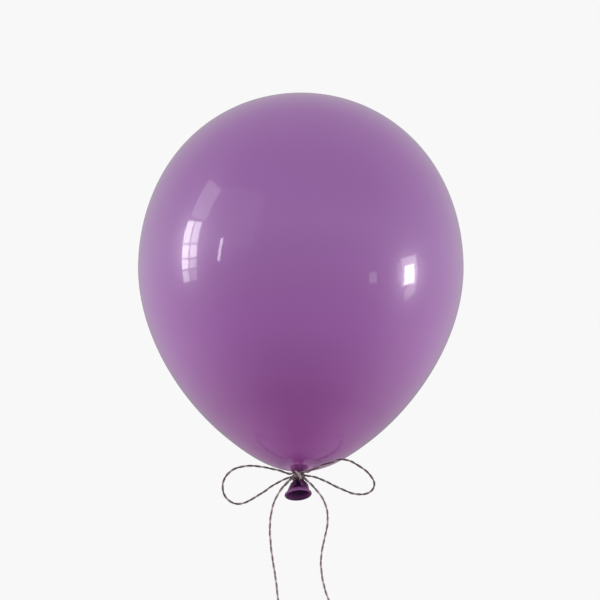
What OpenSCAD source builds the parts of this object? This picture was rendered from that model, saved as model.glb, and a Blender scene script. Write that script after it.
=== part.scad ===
// Inflated latex balloon, tied at the neck with twine in a bow.
// Millimetres. The origin is the centre of the tie. +Z runs up the balloon's axis to its crown,
// +X is to the right, and the bow's knot is on the -Y side, the front.

/* [Bulb] */
// Radius at the widest place
bulb_r = 127; // [110:1:150]
// Height of the crown above the widest place
crown_h = 137.5; // [120:0.5:165]
// Depth of the base below the widest place
base_h = 164; // [140:1:185]
// How far the flank runs straight up from the widest place, as a share of the crown's height
crown_flank = 0.58; // [0.5:0.01:0.7]
// How far the crown runs flat from the axis, as a share of the radius
crown_flat = 0.58; // [0.4:0.01:0.65]
// How far the flank runs straight down from the widest place, as a share of the base's depth
base_flank = 0.5; // [0.35:0.01:0.55]
// How far the base runs flat from the axis, as a share of the radius
base_flat = 0.35; // [0.3:0.01:0.5]
// How much fuller the skin stands near the neck
base_full = 1; // [0:0.1:1.2]
// Height of the base's lowest point above the tie
base_z = 7.8; // [7.4:0.1:8.8]
// Lean of the bulb to the right in degrees
bulb_lean = 0.35; // [0:0.05:0.6]
// Shift of the bulb to the right of the tie
bulb_shift = 0.9; // [0:0.1:1]
// Thickness that stands in for the stretched latex
skin_t = 0.4; // [0.3:0.1:0.6]

/* [Neck] */
// Radius of the dark neck where it leaves the bulb
neck_r = 7; // [6.6:0.1:7.4]
// Radius of the gathered latex inside the twine
waist_r = 3; // [2.8:0.1:3.2]

/* [Mouth] */
// Height of the point that the mouth bends about
mouth_z = -5.6; // [-6:0.1:-5.4]
// Forward lean of the mouth in degrees
mouth_lean = 7; // [0:1:10]
// Sideways tilt of the mouth in degrees, right side up
mouth_tilt = 5; // [0:1:8]
// Shift of the mouth to the left of the tie
mouth_shift = 0.8; // [0:0.1:1]
// Radius of the opening inside the rolled lip
lip_bore_r = 8.8; // [8.4:0.1:9.2]
// Thickness of the rolled lip
lip_d = 1.6; // [1.4:0.1:1.8]
// Length of the lip's straight inner face
lip_land = 1.2; // [0.8:0.1:1.3]
// Distance from the bending point to the lip's middle
lip_drop = 8.1; // [7.8:0.1:8.4]

/* [Twine] */
// Diameter of the twine
twine_d = 1.6; // [1.4:0.1:1.7]
// Number of turns round the neck
turns = 4; // [3:1:4]
// Clearance between the turns and the latex
turn_gap = 0.05; // [0.03:0.01:0.1]

/* [Hidden] */
$fn = 96;

latex = "#8d5d97";
latex_dark = "#5a2a56";
twine_brown = "#6b5058";

twine_r = twine_d / 2;
widest_z = base_z + base_h;
outline_steps = 28;
small_steps = 10;

// Radii between which the fuller ring round the neck begins, and between which it ends
FULL_FROM = [10, 18];
FULL_TO = [26, 60];

// Hole in the bulb's base, which the neck's flange covers from inside
base_hole_r = neck_r + 1.2;
base_hole_h = 4;
flange_r = neck_r + 2.5;

// Each curve is its first point, two handles and its last point, as [radius, height].
// The neck runs from the flange down to the waist. The skirt runs from its rounded top, just under
// the turns, down to the lip.
NECK_OUTER = [[flange_r, 9.25], [neck_r + 0.2, 8.3], [6.1, 6], [4.6, 3.7]];
NECK_INNER = [[flange_r, 9.75], [neck_r - 0.6, 8.6], [5.6, 7], [4.1, 5]];
SKIRT_TOP = [[0, 2], [2.2, 2], [4.2, 1], [5.6, -0.5]];
SKIRT_OUTER = [[5.6, -0.5], [6.9, -2.3], [8.2, -3.6], [lip_bore_r + 0.47, -7.7]];
SKIRT_INNER = [[4.2, -1.3], [6.3, -2.6], [7.8, -4.4], [lip_bore_r + 0.07, -7.7]];

// Solid part of the neck that the turns hold
waist_top = 3.15;
waist_end = -2.9;
neck_floor_r = 3.6;
neck_floor_z = 4.6;

// Height of the roof of the skirt's hollow
skirt_roof_z = -1.3;

// Knot: a short barrel across the front of the turns, a little higher on the right, with a
// strand that slants over it from the upper left, and an ear for each loop and each tail
knot_y = -7.2;
knot_tilt = 6;
knot_r = 2.6;
knot_half = 4.2;
ear_x = 5;
ear_r = 1.9;
tail_ear = [4.6, -5.2, -1.4];
tail_ear_r = 1.1;
band_r = 2.5;
band_slant = 35;

// Pitch of the turns: a little under the twine's diameter, so that they lie tight together
turn_pitch = twine_d - 0.05;
turn_r = waist_r + turn_gap + twine_r;

// Routes of the twine, each from the knot outwards. Both loops end at the knot again.
LOOP_LEFT = [
    [-6.9, -7.2, 0.8], [-10.5, -7.3, 1.9], [-14.5, -7.5, 3.3], [-21.5, -8, 4.8],
    [-28, -8.3, 6], [-34, -8.7, 6.6], [-40, -9, 6.3], [-46, -9.5, 4.9],
    [-51, -10, 2.1], [-55, -10.5, -2.4], [-57.3, -10.5, -8.8], [-56.6, -10.5, -15.6],
    [-53, -10.5, -21.2], [-47.5, -10, -23.9], [-41, -9.5, -23.2], [-34.5, -9, -19.6],
    [-26.5, -8.5, -14.3], [-20, -8, -9.3], [-13, -7.5, -5], [-6.9, -7.2, -2.2]
];
LOOP_RIGHT = [
    [6.9, -7.2, 2.2], [10, -7.3, 3.8], [14, -7.6, 5.7], [20, -8, 7.8],
    [27, -8.5, 10.2], [33, -9, 11.6], [39, -9.5, 10.4], [45.5, -10, 6.6],
    [51, -10.5, 2.4], [55, -10.5, -2], [57.4, -10.5, -6.5], [57.2, -10.5, -11.3],
    [54, -10, -14.9], [48.5, -10, -16.5], [42, -9.5, -15.8], [35, -9, -13],
    [27, -8.5, -9], [20, -8, -5.1], [13, -7.5, -2.1], [6.9, -7.2, -0.8]
];
TAIL_LEFT = [
    [-5.3, -5.2, -2.6], [-7.2, -5, -4.2], [-9.6, -5, -6.8], [-12.8, -4.8, -10.6],
    [-17.5, -4.5, -18.8], [-20.4, -4, -29], [-21.5, -3.2, -40], [-21, -2.5, -52],
    [-19.6, -2.2, -64], [-17.8, -2.8, -75.5], [-16.4, -3.8, -86], [-15.2, -5, -98],
    [-14.5, -6, -109], [-14.8, -6.8, -120], [-16, -7, -132], [-17.4, -6.5, -144],
    [-17.8, -5.5, -156], [-17, -4.5, -168], [-15.5, -4, -178]
];
TAIL_RIGHT = [
    [5.3, -5.2, -2.6], [7.4, -5, -4.6], [11, -5, -8.3], [17, -4.6, -15.7],
    [21, -4, -24], [22.3, -3.6, -33.5], [21.3, -3.6, -43], [19, -4.2, -53.5],
    [17.2, -5.2, -65], [17.4, -6.2, -75.5], [19.2, -7, -87], [22, -7.2, -96.5],
    [25, -6.6, -105], [27, -5.6, -115], [27, -4.6, -126], [25.5, -4, -137],
    [23.5, -3.8, -148], [22.5, -4.2, -159], [23.2, -5, -170]
];

// Point at share t along a curve with ends a and d and handles b and c
function on_curve(a, b, c, d, t) =
    pow(1 - t, 3) * a + 3 * pow(1 - t, 2) * t * b + 3 * (1 - t) * t * t * c + pow(t, 3) * d;
function curve(ends, steps) =
    [for (i = [0:steps]) on_curve(ends[0], ends[1], ends[2], ends[3], i / steps)];

// 0 below low, 1 above high, and smooth in between
function ease(low, high, x) =
    let (s = min(1, max(0, (x - low) / (high - low))))
    s * s * (3 - 2 * s);

// Share of base_full at radius r: all of it in a ring round the neck, and none at the hole
function fullness(r) = ease(FULL_FROM[0], FULL_FROM[1], r) * (1 - ease(FULL_TO[0], FULL_TO[1], r));

// Half outline of the bulb, from the crown down to the base, taken in by t
function crown_outline(t) = curve(
    [
        [0, crown_h - t],
        [crown_flat * bulb_r, crown_h - t],
        [bulb_r - t, crown_flank * crown_h],
        [bulb_r - t, 0]
    ],
    outline_steps
);
function base_curve(t) = curve(
    [
        [bulb_r - t, 0],
        [bulb_r - t, -base_flank * base_h],
        [base_flat * bulb_r, t - base_h],
        [0, t - base_h]
    ],
    outline_steps
);
function base_outline(t) = [for (p = base_curve(t)) [p.x, p.y - base_full * fullness(p.x)]];

function reverse(list) = [for (i = [len(list) - 1:-1:0]) list[i]];

// One ring of a swept cord: eight points round p, square to the direction d
function ring(p, d) =
    let (
        n = d / norm(d),
        u = cross(n, [0, 1, 0]) / norm(cross(n, [0, 1, 0])),
        v = cross(n, u)
    )
    [for (k = [0:7]) p + twine_r * (cos(45 * k) * u + sin(45 * k) * v)];

// Direction of a route at its point i
function heading(route, i) =
    route[min(i + 1, len(route) - 1)] - route[max(i - 1, 0)];

module cord(route) {
    last = len(route) - 1;
    points = [for (i = [0:last]) each ring(route[i], heading(route, i))];
    sides = [
        for (i = [0:last - 1], k = [0:7])
            let (a = 8 * i, b = (k + 1) % 8)
            each [[a + k, a + b, a + 8 + k], [a + b, a + 8 + b, a + 8 + k]]
    ];
    start = [[for (k = [7:-1:0]) k]];
    end = [[for (k = [0:7]) 8 * last + k]];
    polyhedron(points, concat(start, sides, end));
}

module bulb() {
    color(latex)
    translate([bulb_shift, 0, 0])
    rotate([0, bulb_lean, 0])
    difference() {
        translate([0, 0, widest_z])
        rotate_extrude()
        polygon(concat(
            crown_outline(0),
            base_outline(0),
            reverse(concat(crown_outline(skin_t), base_outline(skin_t)))
        ));
        translate([0, 0, base_z - base_hole_h / 2]) cylinder(r = base_hole_r, h = base_hole_h);
    }
}

module neck() {
    color(latex_dark)
    rotate_extrude()
    polygon(concat(
        curve(NECK_OUTER, small_steps),
        [[waist_r, waist_top], [waist_r, waist_end], [0, waist_end]],
        [[0, neck_floor_z], [neck_floor_r, neck_floor_z]],
        reverse(curve(NECK_INNER, small_steps))
    ));
}

module mouth_frame() {
    translate([-mouth_shift, 0, mouth_z]) rotate([-mouth_lean, -mouth_tilt, 0]) children();
}

module skirt() {
    color(latex_dark)
    mouth_frame()
    rotate_extrude()
    polygon(concat(
        curve(SKIRT_TOP, small_steps),
        curve(SKIRT_OUTER, small_steps),
        reverse(curve(SKIRT_INNER, small_steps)),
        [[0, skirt_roof_z]]
    ));
}

module lip() {
    color(latex_dark)
    mouth_frame()
    translate([0, 0, -lip_drop])
    rotate_extrude()
    union() {
        translate([lip_bore_r + lip_d / 2, 0]) circle(d = lip_d);
        translate([lip_bore_r, -lip_land / 2]) square([lip_d / 2, lip_land]);
    }
}

module twine_wrap() {
    color(twine_brown)
    for (i = [0:turns - 1])
        translate([0, 0, (i - (turns - 1) / 2) * turn_pitch])
        rotate_extrude() translate([turn_r, 0]) circle(d = twine_d);
}

// Disc with a round rim, for the strand that crosses over the barrel
module band() {
    rotate_extrude()
    union() {
        translate([band_r, 0]) circle(d = twine_d);
        translate([0, -twine_r]) square([band_r, twine_d]);
    }
}

module bow_knot() {
    color(twine_brown)
    union() {
        translate([0, knot_y, 0]) rotate([0, -knot_tilt, 0]) {
            rotate([0, 90, 0]) cylinder(r = knot_r, h = 2 * knot_half, center = true);
            rotate([0, 90 - band_slant, 0]) band();
            for (side = [-1, 1]) translate([side * ear_x, 0, 0]) sphere(r = ear_r);
        }
        for (side = [-1, 1])
            translate([side * tail_ear.x, tail_ear.y, tail_ear.z]) sphere(r = tail_ear_r);
    }
}

module loop_left() { color(twine_brown) cord(LOOP_LEFT); }
module loop_right() { color(twine_brown) cord(LOOP_RIGHT); }
module tail_left() { color(twine_brown) cord(TAIL_LEFT); }
module tail_right() { color(twine_brown) cord(TAIL_RIGHT); }

bulb();
neck();
skirt();
lip();
twine_wrap();
bow_knot();
loop_left();
loop_right();
tail_left();
tail_right();
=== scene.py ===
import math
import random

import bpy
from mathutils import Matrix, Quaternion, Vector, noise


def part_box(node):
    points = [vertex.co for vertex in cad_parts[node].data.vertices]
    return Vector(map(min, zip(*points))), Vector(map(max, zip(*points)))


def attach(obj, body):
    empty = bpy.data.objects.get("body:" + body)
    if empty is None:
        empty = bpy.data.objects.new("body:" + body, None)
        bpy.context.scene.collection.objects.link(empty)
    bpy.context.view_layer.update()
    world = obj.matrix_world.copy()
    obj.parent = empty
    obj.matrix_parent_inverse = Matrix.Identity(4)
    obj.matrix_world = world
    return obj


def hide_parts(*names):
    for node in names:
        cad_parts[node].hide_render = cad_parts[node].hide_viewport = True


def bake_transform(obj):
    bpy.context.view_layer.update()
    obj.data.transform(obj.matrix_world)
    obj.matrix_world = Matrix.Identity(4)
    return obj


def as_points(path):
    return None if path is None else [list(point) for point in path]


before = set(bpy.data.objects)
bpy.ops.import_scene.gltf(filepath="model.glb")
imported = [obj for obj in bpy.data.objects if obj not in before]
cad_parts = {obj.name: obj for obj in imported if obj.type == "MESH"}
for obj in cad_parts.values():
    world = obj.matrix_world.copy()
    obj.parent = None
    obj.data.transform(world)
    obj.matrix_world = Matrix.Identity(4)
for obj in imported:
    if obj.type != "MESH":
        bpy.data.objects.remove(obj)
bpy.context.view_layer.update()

# Looks of an inflated latex balloon, tied at its neck with twine in a bow. Everything is in metres,
# in the frame of the CAD model: the origin is the centre of the tie, +Z runs up to the crown, and
# the bow's knot is on the -Y side. Small sizes are written in millimetres times MM.

MM = 0.001


# ---------------------------------------------------------------- camera

CAMERA_PITCH = math.radians(21)  # it looks up at the balloon from below the tie
CAMERA_DISTANCE = 2.542  # from the tie, along the view
CAMERA_ABOVE_TIE = 0.1355  # across the view, so that the balloon stands in the middle
CAMERA_RIGHT = 0.0013
CAMERA_LENS = 200


def make_camera():
    forward = Vector((0, math.cos(CAMERA_PITCH), math.sin(CAMERA_PITCH)))
    up = Vector((0, -math.sin(CAMERA_PITCH), math.cos(CAMERA_PITCH)))
    data = bpy.data.cameras.new("camera")
    data.lens = CAMERA_LENS
    data.sensor_width = 36
    camera = bpy.data.objects.new("camera", data)
    aside = Vector((CAMERA_RIGHT, 0, 0))
    camera.location = aside + up * CAMERA_ABOVE_TIE - forward * CAMERA_DISTANCE
    camera.rotation_euler = forward.to_track_quat("-Z", "Y").to_euler()
    bpy.context.scene.collection.objects.link(camera)
    bpy.context.scene.camera = camera


# ---------------------------------------------------------------- mesh helpers

def bezier(ends, steps):
    """Points on a cubic curve, given its first point, two handles and last point."""
    a, b, c, d = (Vector(p) for p in ends)
    points = []
    for i in range(steps + 1):
        t = i / steps
        s = 1 - t
        points.append(a * s**3 + b * (3 * s * s * t) + c * (3 * s * t * t) + d * t**3)
    return points


def ease(low, high, x):
    """0 below low, 1 above high, and smooth in between."""
    t = min(1.0, max(0.0, (x - low) / (high - low)))
    return t * t * (3 - 2 * t)


def mesh_piece(name, points, faces, materials, face_slots=None, floats=None):
    """A smooth-shaded mesh object. floats holds lists of one number per point, by name."""
    mesh = bpy.data.meshes.new(name)
    mesh.from_pydata(points, [], faces)
    for material in materials:
        mesh.materials.append(material)
    if face_slots:
        mesh.polygons.foreach_set("material_index", face_slots)
    mesh.polygons.foreach_set("use_smooth", [True] * len(mesh.polygons))
    for key, values in (floats or {}).items():
        mesh.attributes.new(key, "FLOAT", "POINT").data.foreach_set("value", values)
    mesh.update()
    piece = bpy.data.objects.new(name, mesh)
    bpy.context.scene.collection.objects.link(piece)
    return piece


def revolve(profile, around, place):
    """Points and faces of a closed surface swept round Z. Its profile is a list of (radius, height)
    pairs from one point on the axis to the other, and place(row, angle) gives each point."""
    points = [place(0, 0.0)]
    for row in range(1, len(profile) - 1):
        points += [place(row, 2 * math.pi * k / around) for k in range(around)]
    points.append(place(len(profile) - 1, 0.0))
    faces = []
    for k in range(around):
        faces.append((0, 1 + k, 1 + (k + 1) % around))
    for row in range(len(profile) - 3):
        a, b = 1 + row * around, 1 + (row + 1) * around
        for k in range(around):
            n = (k + 1) % around
            faces.append((a + k, b + k, b + n, a + n))
    last, a = len(points) - 1, 1 + (len(profile) - 3) * around
    for k in range(around):
        faces.append((last, a + (k + 1) % around, a + k))
    return points, faces


# ---------------------------------------------------------------- node helpers

def new_material(name):
    material = bpy.data.materials.new(name)
    material.use_nodes = True
    tree = material.node_tree
    return material, tree, tree.nodes["Principled BSDF"]


def add(tree, kind, **settings):
    node = tree.nodes.new("ShaderNode" + kind)
    for key, value in settings.items():
        setattr(node, key, value)
    return node


def attribute(tree, name):
    return add(tree, "Attribute", attribute_name=name)


def ramp(tree, factor, stops):
    """A colour ramp through (place, colour) stops."""
    node = add(tree, "ValToRGB")
    elements = node.color_ramp.elements
    while len(elements) < len(stops):
        elements.new(0.5)
    for element, (place, colour) in zip(elements, stops):
        element.position = place
        element.color = (*colour, 1)
    tree.links.new(factor, node.inputs["Fac"])
    return node.outputs["Color"]


def noise_at(tree, scale, detail=3, roughness=0.5, vector=None):
    node = add(tree, "TexNoise")
    node.inputs["Scale"].default_value = scale
    node.inputs["Detail"].default_value = detail
    node.inputs["Roughness"].default_value = roughness
    if vector is None:
        vector = add(tree, "TexCoord").outputs["Object"]
    tree.links.new(vector, node.inputs["Vector"])
    return node.outputs["Fac"]


MIX_FACTOR, MIX_A, MIX_B, MIX_RESULT = 0, 6, 7, 2  # sockets of a Mix node that mixes colours


def multiply(tree, a, b, factor=None):
    """Colour a times colour b, or as much of that as factor says."""
    node = add(tree, "Mix", data_type="RGBA", blend_type="MULTIPLY")
    node.inputs[MIX_FACTOR].default_value = 1.0
    if factor is not None:
        tree.links.new(factor, node.inputs[MIX_FACTOR])
    tree.links.new(a, node.inputs[MIX_A])
    tree.links.new(b, node.inputs[MIX_B])
    return node.outputs[MIX_RESULT]


def multiply_colour(tree, colour, factor, low, high):
    """colour times a grey that runs from low to high as factor runs from 0 to 1."""
    grey = ramp(tree, factor, [(0.0, (low,) * 3), (1.0, (high,) * 3)])
    return multiply(tree, colour, grey)


def bump(tree, height, strength, distance):
    node = add(tree, "Bump")
    node.inputs["Strength"].default_value = strength
    node.inputs["Distance"].default_value = distance
    tree.links.new(height, node.inputs["Height"])
    return node.outputs["Normal"]


# ---------------------------------------------------------------- materials

def latex_bulb_material():
    """Stretched latex: paler where it is stretched most, with a soft gloss. The ramp's lowest stop is
    painted light, which lifts the skin beside the neck where the neck and knot shade it.
    """
    material, tree, shader = new_material("latex_stretched")
    colour = ramp(tree, attribute(tree, "stretch_and_painted_light").outputs["Fac"], [
        # painted light: this bright lowest stop lifts the skin beside the neck, against its shade
        (0.0, (0.500, 0.135, 0.480)),
        (0.06, (0.244, 0.050, 0.247)),
        (0.17, (0.228, 0.048, 0.248)),
        (0.31, (0.300, 0.090, 0.355)),
        (0.54, (0.350, 0.143, 0.430)),
        (0.87, (0.312, 0.108, 0.380)),
        (1.0, (0.300, 0.096, 0.360)),
    ])
    clouds = noise_at(tree, 9, detail=2)
    colour = multiply_colour(tree, colour, clouds, 0.94, 1.06)
    specks = noise_at(tree, 1400, detail=2)
    colour = multiply_colour(tree, colour, specks, 0.97, 1.03)
    tree.links.new(colour, shader.inputs["Base Color"])
    smears = ramp(tree, noise_at(tree, 14, detail=4), [(0.0, (0.30,) * 3), (1.0, (0.36,) * 3)])
    tree.links.new(smears, shader.inputs["Roughness"])
    shader.inputs["IOR"].default_value = 1.45
    shader.inputs["Coat Weight"].default_value = 0.7
    shader.inputs["Coat Roughness"].default_value = 0.045
    shader.inputs["Coat IOR"].default_value = 1.5
    grain = noise_at(tree, 1100, detail=3)
    tree.links.new(bump(tree, grain, 0.05, 0.02 * MM), shader.inputs["Normal"])
    return material


def latex_dark_material(name, coat, specular):
    """Gathered and unstretched latex: thick, dark and less glossy. Its colour follows the light
    attribute, which paints light and shade: painted shade in its folds, in the lip's groove and inside
    the mouth, and painted light on ridges, on the fold's edge and on the lip's front.
    """
    material, tree, shader = new_material(name)
    # colour by the light level: low values give the painted shade, high ones the painted light and the pale
    # band
    colour = ramp(tree, attribute(tree, "light").outputs["Fac"], [
        (0.0, (0.022, 0.002, 0.026)),
        (0.25, (0.055, 0.014, 0.066)),
        (0.42, (0.105, 0.021, 0.104)),
        (0.75, (0.215, 0.044, 0.205)),
        (1.0, (0.235, 0.100, 0.265)),
    ])
    streaks = noise_at(tree, 700, detail=3)
    colour = multiply_colour(tree, colour, streaks, 0.85, 1.12)
    tree.links.new(colour, shader.inputs["Base Color"])
    smears = ramp(tree, noise_at(tree, 300, detail=3), [(0.3, (0.3,) * 3), (0.8, (0.46,) * 3)])
    tree.links.new(smears, shader.inputs["Roughness"])
    shader.inputs["IOR"].default_value = 1.45
    shader.inputs["Specular IOR Level"].default_value = specular
    shader.inputs["Coat Weight"].default_value = coat
    shader.inputs["Coat Roughness"].default_value = 0.18
    wrinkles = noise_at(tree, 900, detail=4)
    tree.links.new(bump(tree, wrinkles, 0.3, 0.15 * MM), shader.inputs["Normal"])
    return material


def twine_material(name, shadow, light):
    """One ply of the twine: matte fibres that run along it, with darker grooves between them. The same
    pattern gives both the fibres' own tone and their bump, so the shadow colour is also painted shade in
    the bump's grooves.
    """
    material, tree, shader = new_material(name)
    along = attribute(tree, "along").outputs["Fac"]
    across = attribute(tree, "across").outputs["Fac"]
    place = add(tree, "CombineXYZ")
    tree.links.new(along, place.inputs["X"])
    tree.links.new(across, place.inputs["Y"])
    fibres = noise_at(tree, 3.0, detail=4, roughness=0.6, vector=place.outputs["Vector"])
    # fibre tone, and painted shade in the bump's grooves, from the same pattern as the bump
    colour = ramp(tree, fibres, [(0.3, shadow), (0.7, light)])
    patches = noise_at(tree, 160, detail=2)
    colour = multiply_colour(tree, colour, patches, 0.75, 1.25)
    tree.links.new(colour, shader.inputs["Base Color"])
    shader.inputs["Roughness"].default_value = 0.85
    shader.inputs["Sheen Weight"].default_value = 0.35
    shader.inputs["Sheen Roughness"].default_value = 0.5
    tree.links.new(bump(tree, fibres, 0.5, 0.12 * MM), shader.inputs["Normal"])
    return material


def floor_material():
    material, tree, shader = new_material("floor_paint")
    tone = ramp(tree, noise_at(tree, 3, detail=3), [(0.3, (0.86,) * 3), (0.7, (0.88,) * 3)])
    tree.links.new(tone, shader.inputs["Base Color"])
    shader.inputs["Roughness"].default_value = 0.8
    tree.links.new(tone, shader.inputs["Emission Color"])
    shader.inputs["Emission Strength"].default_value = 0.15
    return material


# ---------------------------------------------------------------- twine

PLY_OFFSET = 0.4 * MM  # from the twine's middle to the middle of each ply
PLY_RADIAL = 0.40 * MM  # half the ply's depth, and half its width
PLY_TANGENT = 0.50 * MM
TWIST_PITCH = 12 * MM
TWINE_STEP = 0.45 * MM
PLY_SIDES = 10
TWIST_UNEVEN = 9 * MM  # length over which the twist grows tighter and looser
PLY_UNEVEN = 4 * MM  # length over which a ply grows thicker and thinner
GROOVE_LENGTH = 1.1 * MM  # length in which the phase of a ply's grooves moves by one radian
FIBRE_LENGTH = 1.4 * MM  # length of one unit of the fibres' pattern
FULL_UNTIL, PLAIN_FROM = 8 * MM, 22 * MM  # a full start keeps its size to the first, and ends at the second
FRAY_LENGTH, THIN_LENGTH = 5 * MM, 3 * MM  # lengths of a bare end that open out and grow thin
HAIRS_PER_M = 2400
HAIR_R = 0.035 * MM
HAIR_ROOT = 0.55 * MM  # from the twine's middle to where a loose fibre starts
HAIR_POINTS = 4
HAIR_FIBRES = 10  # units of the fibres' pattern along a loose fibre
# The last tone puts both plies in the palest material: a painted highlight along the knot's band.
PLAIN, PALER_PLIES, PALE_PAINTED_HIGHLIGHT = (0, 1), (2, 3), (3, 3)  # the TWINE_MATERIALS of a length's two plies

# Routes in millimetres, from the knot outwards. The loops come back to the knot.
LOOP_LEFT = [
    (-6.9, -7.2, 0.8), (-10.5, -7.3, 1.9), (-14.5, -7.5, 3.3), (-21.5, -8, 4.8),
    (-28, -8.3, 6), (-34, -8.7, 6.6), (-40, -9, 6.3), (-46, -9.5, 4.9),
    (-51, -10, 2.1), (-55, -10.5, -2.4), (-57.3, -10.5, -8.8), (-56.6, -10.5, -15.6),
    (-53, -10.5, -21.2), (-47.5, -10, -23.9), (-41, -9.5, -23.2), (-34.5, -9, -19.6),
    (-26.5, -8.5, -14.3), (-20, -8, -9.3), (-13, -7.5, -5), (-6.9, -7.2, -2.2),
]
LOOP_RIGHT = [
    (6.9, -7.2, 2.2), (10, -7.3, 3.8), (14, -7.6, 5.7), (20, -8, 7.8),
    (27, -8.5, 10.2), (33, -9, 11.6), (39, -9.5, 10.4), (45.5, -10, 6.6),
    (51, -10.5, 2.4), (55, -10.5, -2), (57.4, -10.5, -6.5), (57.2, -10.5, -11.3),
    (54, -10, -14.9), (48.5, -10, -16.5), (42, -9.5, -15.8), (35, -9, -13),
    (27, -8.5, -9), (20, -8, -5.1), (13, -7.5, -2.1), (6.9, -7.2, -0.8),
]
TAIL_LEFT = [
    (-5.3, -5.2, -2.6), (-7.2, -5, -4.2), (-9.6, -5, -6.8), (-12.8, -4.8, -10.6),
    (-17.5, -4.5, -18.8), (-20.4, -4, -29), (-21.5, -3.2, -40), (-21, -2.5, -52),
    (-19.6, -2.2, -64), (-17.8, -2.8, -75.5), (-16.4, -3.8, -86), (-15.2, -5, -98),
    (-14.5, -6, -109), (-14.8, -6.8, -120), (-16, -7, -132), (-17.4, -6.5, -144),
    (-17.8, -5.5, -156), (-17, -4.5, -168), (-15.5, -4, -178),
]
TAIL_RIGHT = [
    (5.3, -5.2, -2.6), (7.4, -5, -4.6), (11, -5, -8.3), (17, -4.6, -15.7),
    (21, -4, -24), (22.3, -3.6, -33.5), (21.3, -3.6, -43), (19, -4.2, -53.5),
    (17.2, -5.2, -65), (17.4, -6.2, -75.5), (19.2, -7, -87), (22, -7.2, -96.5),
    (25, -6.6, -105), (27, -5.6, -115), (27, -4.6, -126), (25.5, -4, -137),
    (23.5, -3.8, -148), (22.5, -4.2, -159), (23.2, -5, -170),
]

# Where each strand runs on inside the knot, before its route starts and after it ends
INSIDE_LOOP_LEFT = [(-0.8, -7.7, 0.7), (-3.6, -8.0, 0.9)], [(-3.6, -7.8, -1.5), (-0.8, -7.5, -1.0)]
INSIDE_LOOP_RIGHT = [(0.8, -7.7, 1.1), (3.6, -8.0, 1.8)], [(3.6, -7.8, -0.5), (0.8, -7.5, -0.4)]
INSIDE_TAIL_LEFT = [(-1.2, -6.4, -0.4), (-3.3, -5.7, -1.2)], []
INSIDE_TAIL_RIGHT = [(1.2, -6.4, -0.4), (3.3, -5.7, -1.2)], []


def smooth_line(points, step):
    """Points about step apart on a smooth curve through the given points."""
    p = [Vector(q) for q in points]
    p = [p[0] * 2 - p[1]] + p + [p[-1] * 2 - p[-2]]
    line = []
    for a, b, c, d in zip(p, p[1:], p[2:], p[3:]):
        count = max(1, round((c - b).length / step))
        for i in range(count):
            t = i / count
            line.append(0.5 * (
                2 * b + (c - a) * t + (2 * a - 5 * b + 4 * c - d) * t * t
                + (3 * b - a - 3 * c + d) * t**3
            ))
    line.append(p[-2])
    return line


def frames_along(line):
    """Heading, side and lift at each point of a line, turned as little as possible on the way."""
    side = None
    frames = []
    for i in range(len(line)):
        heading = (line[min(i + 1, len(line) - 1)] - line[max(i - 1, 0)]).normalized()
        if side is None:
            side = heading.orthogonal()
        side = (side - heading * side.dot(heading)).normalized()
        frames.append((heading, side, heading.cross(side)))
    return frames


class Strands:
    """Collects the tubes of one twine piece."""

    def __init__(self):
        self.points, self.faces, self.slots = [], [], []
        self.along, self.across = [], []

    def tube(self, rings, slot, along):
        """A closed tube through rings of equal length."""
        sides, start = len(rings[0]), len(self.points)
        for ring, s in zip(rings, along):
            self.points += ring
            self.along += [s] * sides
            self.across += [2.0 * abs(2 * k / sides - 1) for k in range(sides)]
        for i in range(len(rings) - 1):
            a, b = start + i * sides, start + (i + 1) * sides
            for k in range(sides):
                n = (k + 1) % sides
                self.faces.append((a + k, a + n, b + n, b + k))
        end = start + (len(rings) - 1) * sides
        self.faces.append(tuple(start + k for k in reversed(range(sides))))
        self.faces.append(tuple(end + k for k in range(sides)))
        self.slots += [slot] * ((len(rings) - 1) * sides + 2)

    def piece(self, name):
        floats = {"along": self.along, "across": self.across}
        return mesh_piece(name, self.points, self.faces, TWINE_MATERIALS, self.slots, floats)


def add_plies(strands, line, seed, frayed_end, swell, full_start, tone):
    """Two plies, one dark and one pale, twisted round the line. swell makes all of it thicker, and
    full_start only the part that comes out of the knot."""
    frames = frames_along(line)
    long = len(line) * TWINE_STEP
    for ply in range(2):
        rings, along = [], []
        turn = math.pi * ply + seed
        for i, (point, (_, side, lift)) in enumerate(zip(line, frames)):
            s = i * TWINE_STEP
            uneven = noise.noise(Vector((s / TWIST_UNEVEN, seed, 0)))
            turn += 2 * math.pi * TWINE_STEP / TWIST_PITCH * (1 + 0.5 * uneven)
            full = swell * (1 + full_start * (1 - ease(FULL_UNTIL, PLAIN_FROM, s)))
            thick = full * (1 + 0.10 * noise.noise(Vector((s / PLY_UNEVEN, seed, 7 + ply))))
            out = side * math.cos(turn) + lift * math.sin(turn)
            beside = lift * math.cos(turn) - side * math.sin(turn)
            spread = 1.0
            if frayed_end:
                spread += 0.9 * ease(long - FRAY_LENGTH, long, s)
                thick *= 1 - 0.45 * ease(long - THIN_LENGTH, long, s)
            middle = point + out * (PLY_OFFSET * spread * full)
            ring = []
            for k in range(PLY_SIDES):
                angle = 2 * math.pi * k / PLY_SIDES
                groove = 1 + 0.07 * math.cos(3 * angle + s / GROOVE_LENGTH)
                ring.append(
                    middle
                    + out * (PLY_RADIAL * thick * groove * math.cos(angle))
                    + beside * (PLY_TANGENT * thick * groove * math.sin(angle))
                )
            rings.append(ring)
            along.append(s / FIBRE_LENGTH)
        strands.tube(rings, tone[ply], along)


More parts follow.
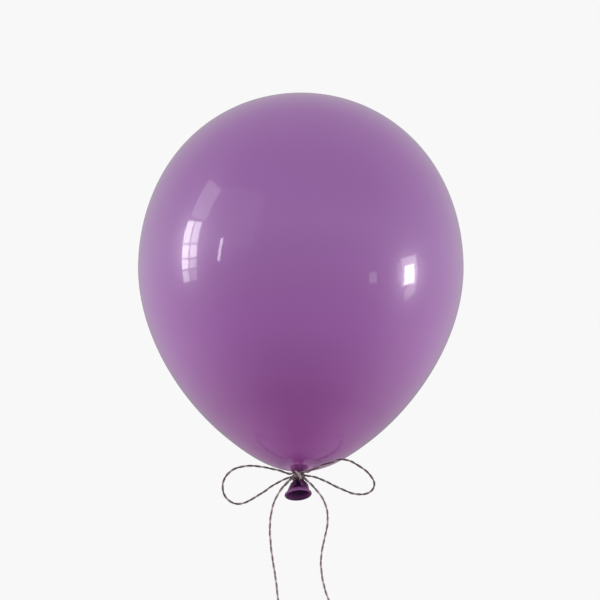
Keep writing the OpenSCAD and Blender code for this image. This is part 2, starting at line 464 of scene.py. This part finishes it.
def add_hairs(strands, line, seed, reach, tone):
    """Loose fibres that stand off the twine."""
    draw = random.Random(seed)
    frames = frames_along(line)
    for _ in range(int(len(line) * TWINE_STEP * HAIRS_PER_M)):
        i = draw.randrange(2, len(line) - 2)
        heading, side, lift = frames[i]
        angle = draw.uniform(0, 2 * math.pi)
        out = side * math.cos(angle) + lift * math.sin(angle)
        along = heading * draw.choice((-1, 1))
        length = draw.uniform(0.5, 1.0) * reach
        start = line[i] + out * HAIR_ROOT
        lean = draw.uniform(0.5, 1.6)
        curl = draw.uniform(-0.6, 0.6)
        turned = along.cross(out)
        rings = []
        for j in range(HAIR_POINTS):
            t = j / (HAIR_POINTS - 1)
            middle = start + (out * t + along * (lean * t * t) + turned * (curl * t * t)) * length
            thin = HAIR_R * (1 - 0.6 * t)
            rings.append([
                middle + along * (thin * math.cos(a)) + turned * (thin * math.sin(a))
                for a in (0, 2 * math.pi / 3, 4 * math.pi / 3)
            ])
        along_hair = [HAIR_FIBRES * j / (HAIR_POINTS - 1) for j in range(HAIR_POINTS)]
        strands.tube(rings, tone[draw.randrange(2)], along_hair)


def twine_piece(
    name, points, seed, frayed_end=False, swell=1.0, full_start=0.0, reach=0.9 * MM, tone=PLAIN
):
    """A length of plied twine through the points, which are in millimetres."""
    line = smooth_line([Vector(p) * MM for p in points], TWINE_STEP)
    strands = Strands()
    add_plies(strands, line, seed, frayed_end, swell, full_start, tone)
    add_hairs(strands, line, seed, reach, tone)
    piece = strands.piece(name)
    return piece, line


def free_cord(name, route, inside, body, exit, length, far_end, seed, full_start, tone):
    """One free stretch of the twine, along its route and its strands inside the knot."""
    before, after = inside
    points = before + route + after
    piece, line = twine_piece(
        name, points, seed, frayed_end=far_end == "bare", swell=1.06, full_start=full_start, tone=tone
    )
    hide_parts(body)
    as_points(line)
    return piece


KNOT_Y = -7.2  # of the knot's middle, in millimetres

# Where a cord on the right leaves the bow, and where it runs on alone, in millimetres. The left is
# its mirror image. The script makes points of these and does nothing more with them.
LOOP_BEND = (4.2, KNOT_Y, 0), (9.5, KNOT_Y, 0)
TAIL_BEND = (4.4, -5.2, -1.6), (7.4, -5.2, -4.4)

# Each cord's body, route, strands inside the knot, length, far end, seed, fullness where it comes
# out of the knot, tone, bend and side
CORDS = [
    ("loop_left", LOOP_LEFT, INSIDE_LOOP_LEFT, 0.138, "object", 1, 0.08, PLAIN, LOOP_BEND, -1),
    ("loop_right", LOOP_RIGHT, INSIDE_LOOP_RIGHT, 0.133, "object", 3, 0.08, PLAIN, LOOP_BEND, 1),
    ("tail_left", TAIL_LEFT, INSIDE_TAIL_LEFT, 0.186, "bare", 5, 0.35, PALER_PLIES, TAIL_BEND, -1),
    ("tail_right", TAIL_RIGHT, INSIDE_TAIL_RIGHT, 0.180, "bare", 7, 0.1, PALER_PLIES, TAIL_BEND, 1),
]


def make_cords():
    """The bow's two loops and its two tails."""
    for body, route, inside, length, far_end, seed, full_start, tone, bend, sign in CORDS:
        piece = free_cord(
            body + "_twine", route, inside, body, exit=Vector(route[0]) * MM, length=length,
            far_end=far_end, seed=seed, full_start=full_start, tone=tone,
        )
        start, end = (Vector((sign * x, y, z)) * MM for x, y, z in bend)
        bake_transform(piece)
        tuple(start)
        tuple(end)


TURNS = 4
TURN_RADIUS = 3.85 * MM
TURN_PITCH = 1.55 * MM
TURN_STEPS = 24  # points in one turn of the twine, round the neck or round the knot

# The strands of the knot, in millimetres
KNOT_BAND_RADIUS = 3.0
KNOT_BAND_DRIFT = 0.5  # how far the band moves sideways in one turn
KNOT_BAND_SLANT = math.radians(34)
KNOT_UNDER_LEFT = [
    (-4.2, 0.5, -1.6), (-4.6, -2.4, -1.5), (-3.9, -4.9, -1.3), (-1.8, -6.2, -0.6),
    (0.8, -6.5, 0.2), (2.6, -6.2, 0.9), (3.9, -5.0, 1.3),
]
KNOT_UNDER_RIGHT = [
    (4.2, 0.5, 1.2), (4.6, -2.4, 1.0), (4.0, -4.9, 0.4), (2.0, -6.0, -0.6),
    (-0.6, -6.3, -1.0), (-2.6, -6.0, -0.4), (-3.9, -5.0, 0.2),
]


def make_tie():
    """The turns round the neck, and the strands of the knot."""
    turns = []
    for i in range(TURN_STEPS * TURNS + 1):
        angle = 2 * math.pi * i / TURN_STEPS - math.pi / 2
        height = (i / TURN_STEPS - TURNS / 2) * TURN_PITCH
        x, y = TURN_RADIUS * math.cos(angle), TURN_RADIUS * math.sin(angle)
        turns.append(Vector((x, y, height)) / MM)
    piece, _ = twine_piece("neck_turns", turns, 11, reach=0.6 * MM)
    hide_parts("twine_wrap")
    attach(piece, "bow")

    # One turn and a little more, so that the band's ends overlap
    band = []
    for i in range(TURN_STEPS + 2):
        angle = 2 * math.pi * i / TURN_STEPS
        x = KNOT_BAND_DRIFT * (i / TURN_STEPS - 0.5)
        y = -math.cos(angle) * KNOT_BAND_RADIUS
        z = math.sin(angle) * KNOT_BAND_RADIUS
        band.append((
            x * math.cos(KNOT_BAND_SLANT) - z * math.sin(KNOT_BAND_SLANT),
            KNOT_Y + y,
            x * math.sin(KNOT_BAND_SLANT) + z * math.cos(KNOT_BAND_SLANT),
        ))
    quarter = TURN_STEPS // 4
    route = band[quarter:] + band[1:quarter + 1]
    # both plies in the palest material: a painted highlight along the band
    piece, _ = twine_piece("knot_band", route, 13, swell=1.2, tone=PALE_PAINTED_HIGHLIGHT)
    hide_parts("bow_knot")
    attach(piece, "bow")
    for name, points, seed in (
        ("knot_under_left", KNOT_UNDER_LEFT, 17),
        ("knot_under_right", KNOT_UNDER_RIGHT, 19),
    ):
        piece, _ = twine_piece(name, points, seed, swell=1.25, tone=PALER_PLIES)
        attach(piece, "bow")


# ---------------------------------------------------------------- latex

BULB_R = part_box("bulb")[1].y
BASE_Z = 7.8 * MM
BASE_H = 164 * MM
CROWN_H = 137.5 * MM
WIDEST_Z = BASE_Z + BASE_H
BULB_LEAN = math.radians(0.35)
BULB_SHIFT = 0.9 * MM

# How far the outline runs straight from the widest place, as a share of the height there (FLANK),
# and from the axis, as a share of the radius (FLAT)
CROWN_FLANK = 0.58
CROWN_FLAT = 0.58
BASE_FLANK = 0.50
BASE_FLAT = 0.35

BASE_FULL = 1.0 * MM  # how much fuller the skin stands near the neck
FULL_FROM = 10 * MM, 18 * MM  # radii between which that begins
FULL_TO = 26 * MM, 60 * MM  # and between which it ends
BULB_WAVE = 0.15 * MM
NECK_RIPPLE = 0.12 * MM
CROWN_SPOT = 0.35 * MM  # how far the thick spot on the crown stands up
BULB_AROUND = 224
SEAM_R = 7.4 * MM  # where the bulb's skin turns into the dark neck

# The folds of the gathered neck: how many, their share, and where they start
FOLDS = [(9, 0.5, 0.4), (14, 0.3, 2.1), (23, 0.2, 4.4)]


def fold(angle):
    """Height of the gathered folds round the neck, from -1 in a groove to 1 on a ridge."""
    return sum(
        share * (1 - 2 * abs(math.sin((count * angle + phase) / 2)))
        for count, share, phase in FOLDS
    )


def bulb_profile():
    """Radius and height along the bulb, from the crown down to the seam and closed inside the neck."""
    crown = bezier([
        (0, WIDEST_Z + CROWN_H),
        (CROWN_FLAT * BULB_R, WIDEST_Z + CROWN_H),
        (BULB_R, WIDEST_Z + CROWN_FLANK * CROWN_H),
        (BULB_R, WIDEST_Z),
    ], 80)
    base = bezier([
        (BULB_R, WIDEST_Z),
        (BULB_R, WIDEST_Z - BASE_FLANK * BASE_H),
        (BASE_FLAT * BULB_R, BASE_Z),
        (0, BASE_Z),
    ], 150)
    kept = [p for p in base[1:] if p.x > SEAM_R]
    rounded = [(SEAM_R, BASE_Z + 0.60 * MM), (SEAM_R - 0.5 * MM, BASE_Z + 0.9 * MM)]
    inside = [(SEAM_R - 0.6 * MM, BASE_Z + 1.6 * MM), (0, BASE_Z + 1.8 * MM)]
    return [tuple(p) for p in crown + kept] + rounded + inside


def make_bulb(material):
    """The inflated skin. Its stretch runs from about 0 at the neck to nearly 1 at the crown, and is
    less again on the crown's thick spot. Beside the neck it drops towards 0, most in the folds'
    grooves, and there the colour ramp paints light onto the skin."""
    profile = bulb_profile()
    stretch_and_painted_light = []

    def place(row, angle):
        r, z = profile[row]
        near_neck = 1 - ease(SEAM_R, 20 * MM, r) if z < WIDEST_Z else 0.0
        near_crown = 1 - ease(0, 9 * MM, r) if z > WIDEST_Z else 0.0
        rim = ease(0, 0.5 * BULB_R, r)
        wave = BULB_WAVE * rim * noise.noise(Vector((
            2.2 * math.cos(angle), 2.2 * math.sin(angle), 14 * z
        )))
        x, y = (r + wave) * math.cos(angle), (r + wave) * math.sin(angle)
        full = 0.0
        if z < WIDEST_Z:
            full = ease(*FULL_FROM, r) * (1 - ease(*FULL_TO, r))
        z_out = z + NECK_RIPPLE * near_neck**3 * fold(angle) + CROWN_SPOT * near_crown
        z_out -= BASE_FULL * full
        from_neck = (z - BASE_Z) / (BASE_H + CROWN_H)
        # beside the neck the level drops towards 0, most in the grooves, where the ramp paints light
        level = 0.06 + 0.94 * from_neck - 0.03 * near_neck**3 * (1 - fold(angle))
        stretch_and_painted_light.append(max(0.0, level - 0.45 * near_crown**2))
        return (
            x * math.cos(BULB_LEAN) + z_out * math.sin(BULB_LEAN) + BULB_SHIFT,
            y,
            z_out * math.cos(BULB_LEAN) - x * math.sin(BULB_LEAN),
        )

    points, faces = revolve(profile, BULB_AROUND, place)
    piece = mesh_piece("latex_bulb", points, faces, [material], floats={"stretch_and_painted_light": stretch_and_painted_light})
    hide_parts("bulb")
    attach(piece, "balloon")


WAIST_R = 3 * MM
NECK_AROUND = 144


def make_neck(material):
    """The dark collar under the bulb, and the gathered core that the turns hold."""
    inside = [(0, BASE_Z + 1.6 * MM), (SEAM_R - 1.2 * MM, BASE_Z + 1.5 * MM)]
    collar = bezier([
        (SEAM_R + 0.15 * MM, BASE_Z + 0.75 * MM),
        (SEAM_R - 0.3 * MM, BASE_Z - 0.1 * MM),
        (5.9 * MM, 5.6 * MM),
        (4.3 * MM, 3.6 * MM),
    ], 22)
    waist = bezier([
        (4.3 * MM, 3.6 * MM),
        (3.3 * MM, 2.6 * MM),
        (WAIST_R, 1.6 * MM),
        (WAIST_R, -2.8 * MM),
    ], 12)
    profile = inside + [tuple(p) for p in collar + waist[1:]] + [(0, -2.9 * MM)]
    light = []

    def place(row, angle):
        r, z = profile[row]
        depth = 0.38 * MM * ease(0, 5.5 * MM, r) * (1 - 0.8 * ease(5.5 * MM, SEAM_R, r))
        # light level: paler towards the collar's top, with painted light on the folds' ridges and painted
        # shade in their grooves
        light.append(0.56 + 0.20 * ease(3 * MM, 8 * MM, z) + 0.10 * fold(angle))
        r_out = max(0.0, r + depth * fold(angle))
        aside = BULB_SHIFT * ease(4.5 * MM, 8.3 * MM, z)
        return (r_out * math.cos(angle) + aside, r_out * math.sin(angle), z)

    points, faces = revolve(profile, NECK_AROUND, place)
    piece = mesh_piece("gathered_neck", points, faces, [material], floats={"light": light})
    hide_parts("neck")
    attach(piece, "balloon")


MOUTH_PIVOT = Vector((-0.8 * MM, 0, -5.6 * MM))
MOUTH_LEAN = math.radians(7)
MOUTH_TILT = math.radians(5)
LIP_BORE_R = 8.8 * MM
LIP_D = 1.6 * MM
LIP_DROP = 8.1 * MM


def from_mouth(point):
    """A point of the mouth's own frame, which leans forward and tilts, in the frame of the part."""
    x, y, z = point
    x, z = (
        x * math.cos(MOUTH_TILT) - z * math.sin(MOUTH_TILT),
        x * math.sin(MOUTH_TILT) + z * math.cos(MOUTH_TILT),
    )
    y, z = (
        y * math.cos(MOUTH_LEAN) + z * math.sin(MOUTH_LEAN),
        z * math.cos(MOUTH_LEAN) - y * math.sin(MOUTH_LEAN),
    )
    return MOUTH_PIVOT + Vector((x, y, z))


SKIRT_TOP_Z = 2.6 * MM
SKIRT_SHIFT = 1.2 * MM  # how far right of the lip's middle the skirt's top stands
MOUTH_FOLD_AT = -math.pi / 2 - 0.05  # the fold is at the front, a little to the left


def from_mouth_fold(fall, angle):
    """The angle from the middle of the skirt's fold, and half the fold's width there."""
    off = (angle - MOUTH_FOLD_AT + math.pi) % (2 * math.pi) - math.pi
    return off, 0.16 + 0.60 * fall


def mouth_fold(fall, angle):
    """How deep the skirt is pressed in, from 0 to 1: one wide fold at the front, open downwards.
    fall runs from 0 at the skirt's top to 1 at the lip."""
    off, half = from_mouth_fold(fall, angle)
    inside = 1 - ease(0.6 * half, half, abs(off))
    return inside * ease(0.04, 0.25, fall) * (1 - ease(0.66, 0.80, fall))


def mouth_crease(fall, angle):
    """How near a point of the skirt is to the sharp right edge of its fold, from 0 to 1: the mask of
    the painted highlight along that edge.
    """
    off, half = from_mouth_fold(fall, angle)
    return math.exp(-((off - half) / 0.12) ** 2) * ease(0.1, 0.3, fall) * (1 - ease(0.5, 0.66, fall))


def make_skirt(outside, inside):
    """The flared tube below the tie, with its folds, and the funnel inside it."""
    outer = bezier([
        (2.6 * MM, SKIRT_TOP_Z), (4.5 * MM, 2.5 * MM), (5.8 * MM, 1.5 * MM), (6.6 * MM, -0.2 * MM)
    ], 18) + bezier([
        (6.6 * MM, -0.2 * MM), (7.6 * MM, -2.2 * MM), (8.3 * MM, -4.6 * MM),
        (LIP_BORE_R + 0.45 * MM, -7.9 * MM)
    ], 26)[1:]
    inner = bezier([
        (LIP_BORE_R + 0.05 * MM, -7.9 * MM), (8.1 * MM, -5.4 * MM),
        (7.4 * MM, -3.2 * MM), (6.2 * MM, -0.9 * MM)
    ], 16) + bezier([
        (6.2 * MM, -0.9 * MM), (5.4 * MM, 0.5 * MM), (3.2 * MM, 1.2 * MM), (0.6 * MM, 1.3 * MM)
    ], 16)[1:]
    profile = [(0, SKIRT_TOP_Z)] + [tuple(p) for p in outer + inner] + [(0, 1.3 * MM)]
    first_inner = 1 + len(outer)
    light = []

    def place(row, angle):
        r, z = profile[row]
        fall = (SKIRT_TOP_Z - z) / (SKIRT_TOP_Z + LIP_DROP)
        pressed = mouth_fold(fall, angle)
        ripple = 0.40 * MM * ease(0.5 * MM, 3 * MM, r) * (1 - ease(0.30, 0.85, fall))
        r_out = max(0.0, r + ripple * fold(angle) - 1.5 * MM * pressed * ease(1 * MM, 5 * MM, r))
        # light level: paler towards the lip, painted light on the ripples' ridges and painted shade in
        # their grooves, and painted shade in the pressed-in front fold
        shade = 0.26 + 0.22 * fall + 0.30 * fold(angle) * (1 - fall) - 0.45 * pressed
        # a paler band just above the lip
        shade += 0.50 * ease(0.72, 0.84, fall)
        # inside the mouth: painted shade, darkest far in and lighter towards the lip
        if row >= first_inner:
            shade = 0.16 * ease(0.2, 0.6, fall) + 0.36 * ease(0.55, 1.0, fall)
        else:
            # painted highlight along the sharp right edge of the front fold
            shade += 0.55 * mouth_crease(fall, angle)
        light.append(min(1.0, max(0.0, shade)))
        aside = SKIRT_SHIFT * (1 - ease(0.25, 0.95, fall))
        return from_mouth((r_out * math.cos(angle) + aside, r_out * math.sin(angle), z))

    points, faces = revolve(profile, NECK_AROUND, place)
    outer_faces = NECK_AROUND * first_inner
    slots = [0] * outer_faces + [1] * (len(faces) - outer_faces)
    piece = mesh_piece(
        "mouth_skirt", points, faces, [outside, inside], slots, floats={"light": light}
    )
    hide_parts("skirt")
    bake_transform(piece)


def make_lip(material):
    """The rolled bead round the mouth, with the groove where its roll ends."""
    sides, points, light = 18, [], []
    for k in range(NECK_AROUND):
        angle = 2 * math.pi * k / NECK_AROUND
        uneven = 1 + 0.05 * noise.noise(Vector((3 * math.cos(angle), 3 * math.sin(angle), 5)))
        for j in range(sides):
            turn = 2 * math.pi * j / sides
            groove = 0.16 * math.exp(-((turn - 2.2) / 0.28) ** 2)
            size = LIP_D / 2 * uneven * (1 - groove)
            r = LIP_BORE_R + LIP_D / 2 + size * math.cos(turn)
            z = size * math.sin(turn) - LIP_DROP
            points.append(from_mouth((r * math.cos(angle), r * math.sin(angle), z)))
            # light level: painted light on the front of the bead, painted shade in the groove where its
            # roll ends, and a little paler on its outer face
            front = ease(0.2, 0.9, -math.sin(angle))
            light.append(0.34 + 0.50 * front - 1.6 * groove + 0.10 * math.cos(turn))
    faces = []
    for k in range(NECK_AROUND):
        a, b = k * sides, (k + 1) % NECK_AROUND * sides
        for j in range(sides):
            n = (j + 1) % sides
            faces.append((a + j, b + j, b + n, a + n))
    piece = mesh_piece("rolled_lip", points, faces, [material], floats={"light": light})
    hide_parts("lip")
    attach(piece, "mouth")


# ---------------------------------------------------------------- studio

BACKGROUND = 0.939
ROOM_TINT = (1.0, 0.985, 1.0)
ROOM_LIGHT = 0.72
MIRRORED_ROOM_LIGHT = 1.25
FLOOR_Z = -3.0
FLOOR_R = 19
FLOOR_SIDES = 96
BULB_MIDDLE = Vector((0, 0, 0.17))


def make_world():
    """Even room light on what is matt, a room that is dim below and in front for what is glossy,
    and a plain pale background."""
    world = bpy.data.worlds.new("studio")
    world.use_nodes = True
    bpy.context.scene.world = world
    tree = world.node_tree
    tree.nodes.clear()
    path = add(tree, "LightPath")
    split = add(tree, "SeparateXYZ")
    tree.links.new(add(tree, "TexCoord").outputs["Generated"], split.inputs["Vector"])

    def tone(colour, strength):
        node = add(tree, "Background")
        node.inputs["Strength"].default_value = strength
        if isinstance(colour, tuple):
            node.inputs["Color"].default_value = (*colour, 1)
        else:
            tree.links.new(colour, node.inputs["Color"])
        return node.outputs["Background"]

    def choose(answer, no, yes):
        node = add(tree, "MixShader")
        tree.links.new(path.outputs[answer], node.inputs["Fac"])
        tree.links.new(no, node.inputs[1])
        tree.links.new(yes, node.inputs[2])
        return node.outputs["Shader"]

    def graded(axis, stops):
        span = add(tree, "MapRange")
        span.inputs["From Min"].default_value = -1
        tree.links.new(split.outputs[axis], span.inputs["Value"])
        return ramp(tree, span.outputs["Result"], [(place, (v, v, v)) for place, v in stops])

    height = graded("Z", [
        (0.0, 0.80), (0.25, 0.90), (0.42, 0.955), (0.5, 0.965), (0.58, 0.93), (0.65, 0.88), (0.8, 0.74),
    ])
    depth = graded("Y", [
        (0.0, 0.25), (0.25, 0.35), (0.5, 0.62), (0.72, 0.71), (0.86, 0.62), (0.94, 0.50), (1.0, 0.32),
    ])
    low = graded("Z", [(0.22, 1.0), (0.28, 0.92), (0.39, 0.08), (0.46, 0.0)])
    behind = graded("Y", [
        (0.18, 0.0), (0.32, 0.29), (0.5, 1.0), (0.6, 1.0), (0.73, 0.83), (0.79, 0.57), (0.9, 0.5),
    ])
    floor_aside = graded("X", [
        (0.18, 1.0), (0.3, 0.65), (0.42, 0.22), (0.5, 0.13), (0.58, 0.22), (0.7, 0.65), (0.82, 1.0),
    ])

    mirrored = multiply(
        tree, multiply(tree, height, depth), floor_aside, factor=multiply(tree, low, behind)
    )
    room = choose("Is Glossy Ray", tone(ROOM_TINT, ROOM_LIGHT), tone(mirrored, MIRRORED_ROOM_LIGHT))
    seen = tone((BACKGROUND, BACKGROUND, BACKGROUND), 1.0)
    out = add(tree, "OutputWorld")
    tree.links.new(choose("Is Camera Ray", room, seen), out.inputs["Surface"])


def facing(place, roll=0.0):
    """The turn of a light at a place that faces the bulb, rolled by some degrees."""
    towards = (BULB_MIDDLE - Vector(place)).to_track_quat("-Z", "Y")
    return towards @ Quaternion((0, 0, 1), math.radians(roll))


def area_light(name, place, turn, size, strength, shines="in the gloss"):
    """A rectangular light. strength is its radiance in watts a square metre a steradian, and shines
    says whether it is seen in the gloss or lights what is matt."""
    width, height = size
    data = bpy.data.lights.new(name, "AREA")
    data.shape = "RECTANGLE"
    data.size, data.size_y = width, height
    data.energy = strength * width * height * math.pi
    light = bpy.data.objects.new(name, data)
    light.location = place
    light.rotation_euler = turn.to_euler()
    light.visible_camera = False
    light.visible_glossy = shines == "in the gloss"
    light.visible_diffuse = not light.visible_glossy
    bpy.context.scene.collection.objects.link(light)


WINDOW_PLACE = Vector((-1.95, -0.34, 0.44))
WINDOW_ROLL = -15
WINDOW_SIZE = (0.48, 1.04)
WINDOW_BAR = 0.035
# Each row of panes: its top and bottom as shares of the window's height, and the strength of its
# outer and its inner pane
WINDOW_ROWS = [
    (0.05, 0.44, 12, 9), (0.46, 0.66, 13.5, 11), (0.68, 0.82, 13, 6), (0.84, 1.0, 7, 2.5),
]


def make_window():
    """A window of two columns of panes with bars between them."""
    turn = facing(WINDOW_PLACE, WINDOW_ROLL)
    width, height = WINDOW_SIZE
    pane_width = (width - WINDOW_BAR) / 2
    for row, (top, bottom, *strengths) in enumerate(WINDOW_ROWS):
        for column, strength in enumerate(strengths):
            x = (column - 0.5) * (pane_width + WINDOW_BAR)
            y = (0.5 - (top + bottom) / 2) * height
            place = WINDOW_PLACE + turn @ Vector((x, y, 0))
            size = (pane_width, (bottom - top) * height)
            area_light(f"pane_{row}_{column}", place, turn, size, strength)


# Name, place, roll in degrees, size and strength of the other lights that the gloss shows
GLOSS_LIGHTS = [
    ("tall_curtain", (-1.65, -0.58, 1.14), -24, (0.49, 0.57), 2.0),
    ("left_haze", (-1.50, -1.35, 0.75), -10, (1.50, 1.30), 0.3),
    ("sliver", (-1.65, -1.14, 0.18), -22, (0.07, 0.42), 12),
    ("right_window", (1.97, -0.31, 0.02), 25, (0.30, 0.27), 22),
    ("right_frame", (2.03, -0.34, 0.07), 26, (0.50, 0.44), 5),
    ("right_sill", (1.95, -0.15, -0.17), 46, (0.33, 0.16), 2.4),
    ("right_side", (1.89, -0.61, -0.06), 24, (0.12, 0.30), 1.5),
    ("right_far", (1.55, -1.16, -0.34), 19, (0.19, 0.17), 2.5),
]

# Name, place, size and strength of the lights for what is matt
MATT_LIGHTS = [
    ("ceiling", (0.2, -0.6, 2.4), (2.2, 2.2), 0.75),
    ("left_room", (-2.4, -0.7, 0.3), (1.6, 1.6), 0.8),
    ("right_room", (2.4, -0.7, -0.1), (1.6, 1.6), 0.7),
    ("left_low", (-2.1, 0.9, -0.9), (1.6, 1.6), 1.4),
    ("right_low", (2.1, 0.9, -0.9), (1.6, 1.6), 1.5),
    ("below", (0, 0.8, -2.0), (1.6, 1.6), 1.0),
]


def make_lights():
    make_window()
    for name, place, roll, size, strength in GLOSS_LIGHTS:
        area_light(name, place, facing(place, roll), size, strength)
    for name, place, size, strength in MATT_LIGHTS:
        area_light(name, place, facing(place), size, strength, shines="on what is matt")


def make_floor():
    """A plain round floor, far below, that only the camera and matt surfaces see."""
    points = []
    for k in range(FLOOR_SIDES):
        angle = 2 * math.pi * k / FLOOR_SIDES
        points.append((FLOOR_R * math.cos(angle), FLOOR_R * math.sin(angle), FLOOR_Z))
    floor = mesh_piece("floor", points, [tuple(range(FLOOR_SIDES))], [floor_material()])
    floor.visible_glossy = False


# ---------------------------------------------------------------- everything

TWINE_MATERIALS = [
    twine_material("twine_dark_ply", (0.045, 0.020, 0.026), (0.120, 0.060, 0.075)),
    twine_material("twine_pale_ply", (0.160, 0.110, 0.120), (0.420, 0.330, 0.350)),
    # paler copies of the two plies, for the tails and the strands under the knot
    twine_material("twine_paler_dark_ply", (0.110, 0.070, 0.080), (0.240, 0.170, 0.185)),
    twine_material("twine_paler_pale_ply", (0.300, 0.220, 0.240), (0.620, 0.500, 0.540)),
]

make_camera()
make_cords()
make_tie()
make_bulb(latex_bulb_material())
DARK_LATEX = latex_dark_material("latex_unstretched", coat=0.08, specular=0.28)
make_neck(DARK_LATEX)
make_skirt(DARK_LATEX, latex_dark_material("latex_mouth_inside", coat=0.0, specular=0.15))
make_lip(DARK_LATEX)
make_floor()
make_world()
make_lights()
bpy.context.scene.view_settings.view_transform = "Standard"
